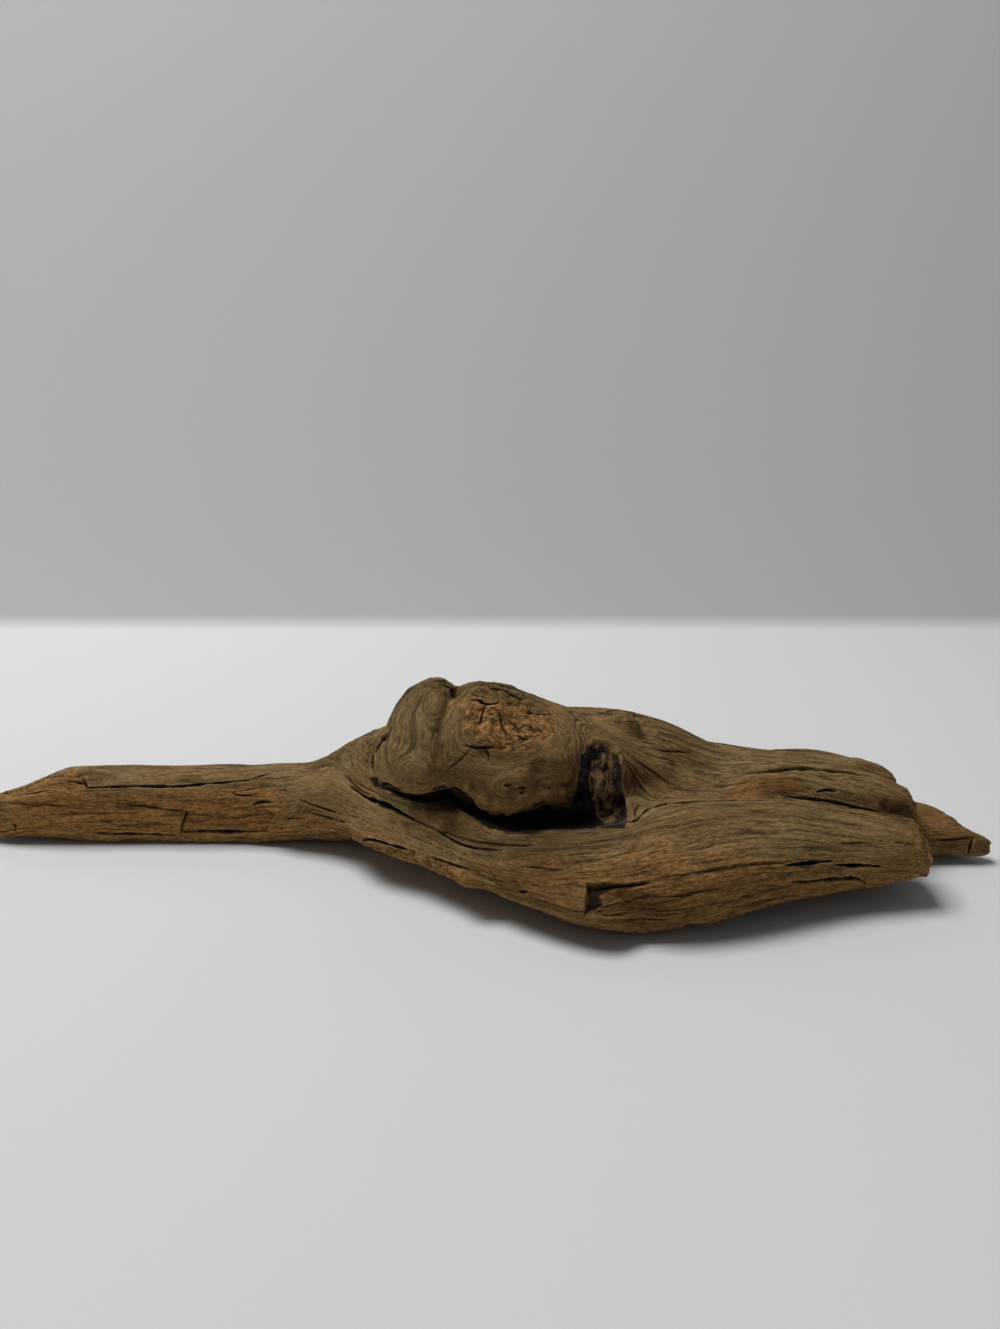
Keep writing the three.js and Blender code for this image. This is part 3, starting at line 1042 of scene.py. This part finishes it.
    def _relief(self, noise: LatticeNoise) -> np.ndarray:
        """Weather the whole surface: swells, raised rings, flaked layers, checks and broken ends.

        Args:
            noise: The noise to shape it by.

        Returns:
            How far each point moves.
        """
        ring, weather = self.masks[Tint.RING], self.weather
        bent = ring + noise.over(self.points, weather.bend_noise) * weather.bend
        ridges = self._grained(noise, bent, weather.ridge_run) * weather.ridge
        flutes = self._grained(noise, bent, weather.flute_run) * weather.flute
        outer = 1.0 - eased(ring, *weather.outer_rings)
        flaked = eased(self._grained(noise, bent, weather.flake_run), *weather.flake_edge)
        flakes = flaked * (weather.flake + weather.edge_flake * outer)
        checked = eased(self._grained(noise, bent, weather.check_run), *weather.check_edge)
        facing = eased(np.abs(self.normals[:, 0]), *weather.end_facing)
        broken = facing * (np.abs(self.points[:, 0]) > weather.end_from)
        torn = noise.at(self.points * np.array(weather.end_rate), weather.end_octaves)
        ends = torn * weather.end * broken
        swell = noise.over(self.points, weather.swell_noise) * weather.swell
        dark, warm, plain = self.masks[Tint.RECESS_SHADE], self.masks[Tint.WARM], 1.0 - self.masks[Tint.ROUGH]
        # Checks get painted shade as well
        np.maximum(dark, checked * weather.check_shade * plain, out=dark)
        np.maximum(warm, np.maximum(outer * weather.outer_warm, broken * weather.end_warm), out=warm)
        height = swell + ends + (ridges + flutes - flakes - checked * weather.check) * plain
        return self.normals * (height * MM)[:, None]

    def _grained(self, noise: LatticeNoise, bent: np.ndarray, run: Stretch) -> np.ndarray:
        """Sample noise that is drawn out along the grain.

        Args:
            noise: The noise.
            bent: Each point's ring number.
            run: How it is drawn out.

        Returns:
            A value for each point.
        """
        level = self.points[:, 1] + self.points[:, 2]
        drawn = [bent * run.ring, self.points[:, 0] * run.along, level * run.across]
        return noise.at(np.stack(drawn, axis=1) + run.shift, run.octaves)

    def _patch(
        self, patch: Patch, pixels: np.ndarray, seen: np.ndarray, noise: LatticeNoise
    ) -> np.ndarray:
        """Mark one outlined area, and sink or pit it.

        Args:
            patch: The area.
            pixels: Where each point lies in the picture.
            seen: Which points the picture shows.
            noise: The noise its edge and pits follow.

        Returns:
            How far each point moves.
        """
        outline = np.array(patch.outline, float)
        inside = np.zeros(len(pixels), bool)
        gap = np.full(len(pixels), np.inf)
        for start, end in zip(outline, np.roll(outline, -1, axis=0)):
            rise = end - start
            crosses = (start[1] > pixels[:, 1]) != (end[1] > pixels[:, 1])
            slope = rise[0] / rise[1] if rise[1] else 0.0
            # From inside, a line to the right crosses the outline an odd number of times
            inside ^= crosses & (pixels[:, 0] < start[0] + slope * (pixels[:, 1] - start[1]))
            share = np.clip(((pixels - start) @ rise) / (rise @ rise), 0.0, 1.0)
            gap = np.minimum(gap, np.linalg.norm(pixels - start - share[:, None] * rise, axis=1))
        weather = self.weather
        edge = np.where(inside, gap, -gap) + noise.over(self.points, weather.edge_noise) * patch.soft
        amount = eased(edge, -patch.soft, patch.soft) * seen
        pitted = noise.over(self.points, weather.lump_noise, weather.lump_shift)
        lumps = pitted * weather.lump * patch.rough
        mask, rough = self.masks[patch.tint], self.masks[Tint.ROUGH]
        if patch.fade:
            amount *= 1.0 - eased(np.linalg.norm(pixels - outline[0], axis=1), 0.0, patch.fade)
        np.maximum(mask, amount * patch.strength, out=mask)
        np.maximum(rough, amount * patch.rough, out=rough)
        return self.normals * (amount * (lumps - patch.depth) * MM)[:, None]

    def _crack(self, crack: Crack, tree: BVHTree, noise: LatticeNoise) -> np.ndarray:
        """Cut one crack and paint shade into it.

        Args:
            crack: The crack.
            tree: The surface it is laid on.
            noise: The noise its width follows.

        Returns:
            How far each point moves.
        """
        moved, carving = np.zeros_like(self.points), self.carving
        line, facing = self._cast(crack.path, self.crack_step, tree)
        if len(line) < 2:
            return moved
        for laid in (line, facing):
            for _ in range(self.path_smoothing):
                laid[1:-1] = (laid[:-2] + 2.0 * laid[1:-1] + laid[2:]) / 4.0
        reach = carving.reach * crack.width * MM
        boxed = (self.points > line.min(0) - reach) & (self.points < line.max(0) + reach)
        near = np.flatnonzero(boxed.all(axis=1))
        gap = np.full(len(near), np.inf)
        place = np.zeros(len(near))
        inward = np.zeros((len(near), 3))
        for i in range(len(line) - 1):
            rise = line[i + 1] - line[i]
            away = self.points[near] - line[i]
            share = np.clip((away @ rise) / max(rise @ rise, TINY), 0.0, 1.0)
            reached = np.linalg.norm(away - share[:, None] * rise, axis=1)
            closer = reached < gap
            gap[closer] = reached[closer]
            place[closer] = (i + share[closer]) / (len(line) - 1)
            inward[closer] = -(facing[i] + facing[i + 1])
        inward /= np.maximum(np.linalg.norm(inward, axis=1), TINY)[:, None]
        wobble = carving.crack_wobble if crack.width < self.fold_width else carving.fold_wobble
        ragged = 1.0 + wobble * noise.over(self.points[near], carving.ragged)
        inner = np.clip(place, carving.end_share, 1.0 - carving.end_share)
        taper = np.clip(np.sin(np.pi * inner), 0.0, 1.0) ** carving.taper
        width = crack.width * MM * ragged * (carving.end_width + (1.0 - carving.end_width) * taper)
        cut = eased(1.0 - gap / width, 0.0, carving.side) * taper
        moved[near] = inward * (cut * crack.depth * MM)[:, None]
        # Painted shade in the crack, a little wider than its cut
        painted_shade = eased(1.0 - gap / (carving.shade_spread * width), 0.0, carving.shade_side)
        dark = self.masks[Tint.RECESS_SHADE]
        dark[near] = np.maximum(dark[near], painted_shade * crack.dark * taper)
        return moved

    def _thin_out(self, piece: bpy.types.Object) -> None:
        """Collapse faces where the surface is plain, down to the piece's budget.

        Args:
            piece: The wood.
        """
        triangles = sum(len(face.vertices) - 2 for face in piece.data.polygons)
        collapse = piece.modifiers.new("thin_out", "DECIMATE")
        collapse.ratio = min(1.0, self.faces / triangles)
        self._apply(piece)
        piece.data.polygons.foreach_set("use_smooth", np.ones(len(piece.data.polygons), bool))
        kept = sum(len(face.vertices) - 2 for face in piece.data.polygons)
        LOG.info("%s: %d triangles, thinned from %d", piece.name, kept, triangles)


@dataclass(frozen=True)
class Layer:
    """Where a pattern shows, between two of its values, and how strongly."""

    low: float
    high: float
    strength: float = 1.0

    def above(self, pattern: Socket) -> Socket:
        """Show the pattern's high parts."""
        return pattern.step(self.low, self.high, self.strength)

    def below(self, pattern: Socket) -> Socket:
        """Show the pattern's low parts."""
        return self.strength - pattern.step(self.low, self.high, self.strength)


@dataclass(frozen=True)
class Patterns:
    """The patterns that the wood's colour and its bump share."""

    streak: Socket
    fibre: Socket
    grit: Socket
    sand: Socket
    blotch: Socket
    mottle: Socket
    plain: Socket
    lined: Socket
    rings: Socket
    checks: Socket
    pits: Socket


@dataclass(frozen=True)
class WeatheredWood:
    """Grey-brown wood bleached by water, with dark rings, orange heart and black resin, and painted
    shade in its cracks, under its overhangs and on its front faces.
    """

    grey: Colour = (0.320, 0.210, 0.086)
    brown: Colour = (0.250, 0.147, 0.052)
    warm: Colour = (0.480, 0.228, 0.058)
    bleached: Colour = (0.480, 0.325, 0.150)
    line: Colour = (0.036, 0.020, 0.008)
    # Near-black painted shade for cracks, checks and recesses
    crack: Colour = (0.010, 0.007, 0.005)
    resin: Colour = (0.017, 0.014, 0.012)
    bark_dark: Colour = (0.020, 0.015, 0.010)
    bark_light: Colour = (0.560, 0.345, 0.160)
    # Patterns along the grain, and those in space by waves for each metre
    wander: Speckle = Speckle(32.0, 2, 0.4)
    wander_rings: float = 7.0
    streak: Stretch = Stretch(0.42, 26.0, 13.0, 4, 0.65)
    fibre: Stretch = Stretch(0.9, 80.0, 45.0, 3, 0.7)
    check: Stretch = Stretch(1.1, 50.0, 28.0, 2, 0.5)
    grit: Stretch = Stretch(1.5, 330.0, 220.0, 2, 0.6)
    ring_width: float = 2.6
    blotch: Speckle = Speckle(30.0, 5, 0.65)
    sand: Speckle = Speckle(1300.0, 1, 0.5)
    lining: Speckle = Speckle(22.0)
    patchy: Speckle = Speckle(130.0, 2)
    pit: Speckle = Speckle(560.0, 4, 0.7)
    mottle: Speckle = Speckle(260.0, 5, 0.7)
    mottle_run: tuple[float, float, float] = (1.5, 1.5, 0.7)
    noise_mean: float = 0.5
    # Where each pattern shows
    rough_cover: float = 0.9
    line_base: float = 0.45
    lined: Layer = Layer(0.42, 0.60, 0.55)
    late_wood: Layer = Layer(0.45, 0.85)
    ring_end: Layer = Layer(0.90, 1.0)
    ring_gaps: Layer = Layer(0.42, 0.60)
    ring_lines: float = 0.35
    checked: Layer = Layer(0.62, 0.70)
    check_lines: float = 0.6
    pitted: Layer = Layer(0.48, 0.62)
    pit_patches: Layer = Layer(0.42, 0.60)
    pit_dark: float = 0.8
    blotches: Layer = Layer(0.38, 0.62)
    warm_base: float = 0.5
    warm_streaks: float = 0.7
    streaks: Layer = Layer(0.28, 0.60, 0.5)
    fibres: Layer = Layer(0.28, 0.54)
    fibre_base: float = 0.3
    fibre_lines: float = 0.45
    pale_fibres: Layer = Layer(0.54, 0.72, 0.4)
    sandy_base: float = 0.8
    sandy_more: float = 0.5
    grits: Layer = Layer(0.30, 0.58, 0.5)
    pale_grits: Layer = Layer(0.52, 0.72, 0.35)
    sands: Layer = Layer(0.30, 0.55, 0.35)
    hollows: Layer = Layer(0.1, 0.5, 0.45)
    crests: Layer = Layer(0.5, 0.9, 0.3)
    # How dark the char and the painted shade get
    char_and_shade_dark: float = 0.75
    mottled: Layer = Layer(0.38, 0.66)
    bare_bark: Layer = Layer(0.55, 0.70, 0.6)
    # Bump and gloss
    streak_bump: float = 0.6
    fibre_bump: float = 0.55
    grit_bump: float = 0.35
    sand_bump: float = 0.2
    ring_bump: float = 0.25
    check_bump: float = 0.5
    bark_bump: float = 1.5
    bump: float = 0.6
    bump_depth: float = 0.0012
    roughness: float = 0.85
    roughness_spread: float = 0.2
    specular: float = 0.1
    tar_coat: float = 0.5
    tar_roughness: float = 0.3

    def material(self) -> bpy.types.Material:
        """Build the finish.

        Returns:
            The material.
        """
        made = bpy.data.materials.new("weathered_wood")
        made.use_nodes = True
        bench = Bench(made.node_tree)
        masks = {tint: bench.attribute(tint) for tint in Tint}
        look = self._patterns(bench, masks)
        tar = masks[Tint.RESIN] * (1 - self.bare_bark.above(look.mottle) * masks[Tint.BARK])
        bump = {"Strength": self.bump, "Distance": self.bump_depth, "Height": self._height(look, masks)}
        shader = bench.node(
            "ShaderNodeBsdfPrincipled",
            {},
            {
                "Base Color": bench.mix(tar, self._colour(bench, look, masks), self.resin),
                "Roughness": self.roughness + (look.blotch - self.noise_mean) * self.roughness_spread,
                "Specular IOR Level": self.specular,
                "Coat Weight": tar * self.tar_coat,
                "Coat Roughness": self.tar_roughness,
                "Normal": bench.node("ShaderNodeBump", {}, bump),
            },
        )
        bench.node("ShaderNodeOutputMaterial", {}, {"Surface": shader})
        return made

    def _patterns(self, bench: Bench, masks: dict[Tint, Socket]) -> Patterns:
        """Lay out the patterns that the colour and the bump share.

        Args:
            bench: The node tree.
            masks: The mesh's masks.

        Returns:
            The patterns.
        """
        place = bench.position()
        across = bench.axis(place, "X")
        level = bench.axis(place, "Y") + bench.axis(place, "Z")
        strayed = (bench.noise(place, self.wander) - self.noise_mean) * self.wander_rings
        grain = masks[Tint.RING] + strayed

        def drawn(run: Stretch) -> Socket:
            """Sample noise that is drawn out along the grain."""
            where = bench.vector(grain * run.ring, across * run.along, level * run.across)
            return bench.noise(where, Speckle(1.0, run.octaves, run.rough))

        check = drawn(self.check)
        plain = 1 - masks[Tint.ROUGH] * self.rough_cover
        lined = self.line_base + self.lined.above(bench.noise(place, self.lining))
        phase = (grain * (1 / self.ring_width)).fraction()
        late = self.late_wood.above(phase) * self.ring_end.below(phase)
        pits = self.pitted.above(bench.noise(place, self.pit))
        patchy = self.pit_patches.above(bench.noise(place, self.patchy))
        return Patterns(
            streak=drawn(self.streak),
            fibre=drawn(self.fibre),
            grit=drawn(self.grit),
            sand=bench.noise(place, self.sand),
            blotch=bench.noise(place, self.blotch),
            mottle=bench.noise(place * self.mottle_run, self.mottle),
            plain=plain,
            lined=lined,
            rings=late * self.ring_gaps.above(check) * plain * lined,
            checks=self.checked.above(check) * plain * lined,
            pits=pits * patchy * masks[Tint.ROUGH],
        )

    def _colour(self, bench: Bench, look: Patterns, masks: dict[Tint, Socket]) -> Socket:
        """Lay the colours over each other, from plain wood to open cracks.

        Args:
            bench: The node tree.
            look: The patterns.
            masks: The mesh's masks.

        Returns:
            The wood's colour under its resin.
        """
        streak, fibre, grit = look.streak, look.fibre, look.grit
        plain, lined, wear = look.plain, look.lined, masks[Tint.WEAR]
        warm = (masks[Tint.WARM] * (self.warm_base + self.warm_streaks * streak)).step(0.0, 1.0)
        sandy = self.sandy_base + self.sandy_more * (masks[Tint.WARM] + masks[Tint.ROUGH])
        fibres = self.fibres.below(fibre) * plain * (self.fibre_base + self.fibre_lines * lined)
        bark = bench.mix(self.mottled.above(look.mottle), self.bark_dark, self.bark_light)
        colour = bench.mix(self.blotches.above(look.blotch), self.brown, self.grey)
        layers = (
            (warm, self.warm),
            (self.streaks.below(streak) * lined, self.line),
            (look.rings * self.ring_lines, self.line),
            (fibres, self.line),
            (self.pale_fibres.above(fibre) * plain, self.bleached),
            (look.checks * self.check_lines, self.line),
            (self.grits.below(grit) * sandy, self.line),
            (self.pale_grits.above(grit) * sandy, self.bleached),
            (self.sands.below(look.sand), self.line),
            (self.hollows.below(wear), self.line),
            (self.crests.above(wear), self.bleached),
            (look.pits * self.pit_dark, self.line),
            (masks[Tint.BARK], bark),
            # Char and dull wood, with painted shade on front faces and under overhangs
            (masks[Tint.CHAR_AND_SHADE] * self.char_and_shade_dark, self.line),
            # Painted shade in the cracks and recesses
            (masks[Tint.RECESS_SHADE], self.crack),
        )
        for share, over in layers:
            colour = bench.mix(share, colour, over)
        return colour

    def _height(self, look: Patterns, masks: dict[Tint, Socket]) -> Socket:
        """Give the fine height of the surface.

        Args:
            look: The patterns.
            masks: The mesh's masks.

        Returns:
            The height that feeds the bump.
        """
        raised = look.streak * self.streak_bump + look.fibre * self.fibre_bump
        raised = raised + look.grit * self.grit_bump + look.sand * self.sand_bump
        sunk = look.rings * self.ring_bump + look.checks * self.check_bump + look.pits
        bark = look.mottle * masks[Tint.BARK] * self.bark_bump
        return (raised - sunk) * (1 - masks[Tint.RESIN]) + bark


@dataclass(frozen=True)
class PaleSheet:
    """The matt white sheet the wood was photographed on."""

    colour: Colour = (0.80, 0.80, 0.79)
    roughness: float = 0.9
    specular: float = 0.1

    def material(self) -> bpy.types.Material:
        """Build a finish that is clear from behind, so that a view from there sees past it.

        Returns:
            The material.
        """
        made = bpy.data.materials.new("pale_sheet")
        made.use_nodes = True
        bench = Bench(made.node_tree)
        finish = {
            "Base Color": (*self.colour, 1.0),
            "Roughness": self.roughness,
            "Specular IOR Level": self.specular,
        }
        sheet = bench.node("ShaderNodeBsdfPrincipled", {}, finish)
        clear = bench.node("ShaderNodeBsdfTransparent", {}, {})
        behind = bench.node("ShaderNodeNewGeometry", {}, {}, "Backfacing")
        both = bench.node("ShaderNodeMixShader", {}, {0: behind, 1: sheet, 2: clear})
        bench.node("ShaderNodeOutputMaterial", {}, {"Surface": both})
        return made


@dataclass(frozen=True)
class Studio:
    """Floor, backdrop, light and sky of the picture. Sizes in metres."""

    back: float = 0.475
    bend: float = 0.012
    half_width: float = 3.0
    front: float = 3.0
    rise: float = 0.8
    lean: float = 0.08
    bend_steps: int = 12
    sky: Colour = (0.50, 0.53, 0.58)
    sky_strength: float = 0.18
    light_place: tuple[float, float, float] = (-0.75, 0.12, 2.0)
    light_size: float = 1.1
    light_power: float = 33.5

    def build(self) -> None:
        """Add the stage to the scene."""
        self._sheet()
        self._light()
        world = bpy.data.worlds.new("studio")
        bpy.context.scene.world = world
        world.use_nodes = True
        bench = Bench(world.node_tree)
        glow = {"Color": (*self.sky, 1.0), "Strength": self.sky_strength}
        sky = bench.node("ShaderNodeBackground", {}, glow)
        bench.node("ShaderNodeOutputWorld", {}, {"Surface": sky})
        bpy.context.scene.view_settings.view_transform = "Standard"

    def _sheet(self) -> None:
        """Make the floor that bends up into the backdrop."""
        profile = [(-self.front, 0.0), (self.back - self.bend, 0.0)]
        for i in range(1, self.bend_steps + 1):
            turn = math.pi / 2 * i / self.bend_steps
            along = self.back - self.bend + self.bend * math.sin(turn)
            profile.append((along, self.bend * (1 - math.cos(turn))))
        profile.append((self.back + self.lean, self.rise))
        points = [(side * self.half_width, y, z) for y, z in profile for side in (-1, 1)]
        faces = [(2 * i, 2 * i + 1, 2 * i + 3, 2 * i + 2) for i in range(len(profile) - 1)]
        mesh = bpy.data.meshes.new("sheet")
        mesh.from_pydata(points, [], faces)
        mesh.polygons.foreach_set("use_smooth", [True] * len(faces))
        mesh.materials.append(PaleSheet().material())
        sheet = bpy.data.objects.new("sheet", mesh)
        bpy.context.scene.collection.objects.link(sheet)

    def _light(self) -> None:
        """Hang the square soft light over the table, facing the origin."""
        data = bpy.data.lights.new("overhead", "AREA")
        data.size = self.light_size
        data.energy = self.light_power
        made = bpy.data.objects.new("overhead", data)
        made.location = self.light_place
        made.rotation_euler = (-Vector(self.light_place)).to_track_quat("-Z", "Y").to_euler()
        bpy.context.scene.collection.objects.link(made)


def main() -> None:
    """Build the driftwood and its stage, and report each piece."""
    logging.basicConfig(level=logging.INFO)
    camera = PhotoCamera()
    camera.build()
    wood = Driftwood(camera).build()
    wood.data.materials.append(WeatheredWood().material())
    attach(wood, "root")
    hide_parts("driftwood")
    LOG.info("%s: dressed", wood.name)
    Studio().build()
    LOG.info("sheet: stage built")


if __name__ == "__main__":
    main()
